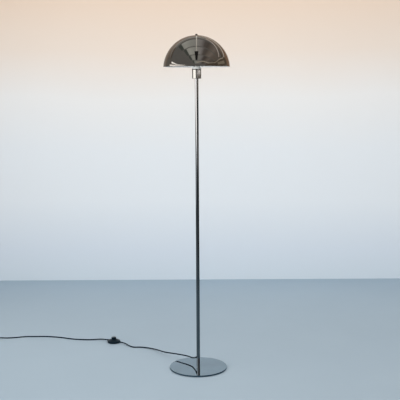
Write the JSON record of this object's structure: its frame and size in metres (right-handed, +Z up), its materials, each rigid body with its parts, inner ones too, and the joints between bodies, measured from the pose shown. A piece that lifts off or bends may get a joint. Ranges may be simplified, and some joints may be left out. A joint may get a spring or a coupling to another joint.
{
  "type": "floor lamp",
  "caption": "Floor lamp with a spun dome shade on a harp, a thin straight pole, a round flat base, a foot switch on the cord and a two-pin plug.",
  "frame": {"origin": "middle of the base's underside, on the floor", "axes": "+Z up the pole, -Y to the front (the side that the picture shows), +X to the right seen from the front"},
  "size_m": [1.3225, 0.6599, 1.55],
  "materials": {
    "dark_mirror": "polished black nickel, mirror finish",
    "shade_metal": "polished black nickel outside, white lacquer inside",
    "satin_steel": "satin nickel",
    "black_steel": "black lacquer",
    "zinc_steel": "zinc plated",
    "spring_steel": "drawn wire",
    "brass_contact": "bright brass",
    "cap_metal": "nickel plated",
    "white_plastic": "white, slightly glossy",
    "ceramic_block": "unglazed",
    "opal_glass": "opal white",
    "black_glass": "black glass",
    "black_plastic": "moulded, fine grain",
    "black_gloss": "moulded, slightly glossy",
    "black_rubber": "soft black rubber",
    "black_cord": "smooth black sheath",
    "wire_insulation": "brown insulation",
    "felt": "dark felt",
    "tie_fabric": "black woven tape"
  },
  "bodies": {
    "lamp": {"base_plate": "dark_mirror", "base_pad": "felt", "base_screw": "zinc_steel", "pole_lower": "dark_mirror", "pole_middle": "dark_mirror", "pole_upper": "dark_mirror", "pole_foot_plug": "zinc_steel", "joint_socket_lower": "zinc_steel", "joint_socket_upper": "zinc_steel", "joint_stud_lower": "zinc_steel", "joint_stud_upper": "zinc_steel", "pole_top_insert": "zinc_steel", "outlet_bush": "black_plastic", "pole_cable": "black_cord", "lampholder_cup": "dark_mirror", "threaded_nipple": "zinc_steel", "lock_nut": "zinc_steel", "lampholder_base": "white_plastic", "terminal_block": "ceramic_block", "terminal_screws": "zinc_steel", "centre_contact": "brass_contact", "screw_shell": "brass_contact", "lampholder_skirt": "white_plastic", "holder_ring": "white_plastic", "holder_wires": "wire_insulation", "harp_ring": "black_steel", "harp_legs": "satin_steel", "harp_boss": "satin_steel", "bulb_tip": "brass_contact", "bulb_insulator": "black_glass", "bulb_cap": "cap_metal", "bulb_glass": "opal_glass", "switch_base": "black_plastic", "switch_cover": "black_plastic", "switch_feet": "black_rubber", "switch_housing_screws": "zinc_steel", "switch_spring": "spring_steel", "switch_terminals": "brass_contact", "switch_terminal_screws": "zinc_steel", "switch_boot_lamp_side": "black_rubber", "switch_boot_plug_side": "black_rubber", "switch_cord_ends": "black_cord", "switch_wires": "wire_insulation", "cord_to_switch": "black_cord", "cord_to_coil": "black_cord", "cord_coil": "black_cord", "cord_to_plug": "black_cord", "cord_tie": "tie_fabric", "plug_body": "black_plastic", "plug_relief": "black_rubber", "plug_pins": "cap_metal", "plug_sleeves": "black_plastic"},
    "shade_body": {"shade": "shade_metal", "crown_washer": "dark_mirror", "finial": "black_steel", "harp_stud": "satin_steel"},
    "button_body": {"switch_button": "black_gloss", "switch_contact_ring": "brass_contact"}
  },
  "joints": [
    {"name": "shade_turn", "type": "hinge", "parent": "lamp", "child": "shade_body", "pos_m": [0, 0, 1.5337], "axis": [0, 0, 1], "continuous": true},
    {"name": "button_press", "type": "slide", "parent": "lamp", "child": "button_body", "axis": [0, 0, -1], "range_m": [0, 0.0035], "stiffness_N_per_m": 500, "springref_m": -0.004, "deforming": ["switch_spring"]}
  ]
}
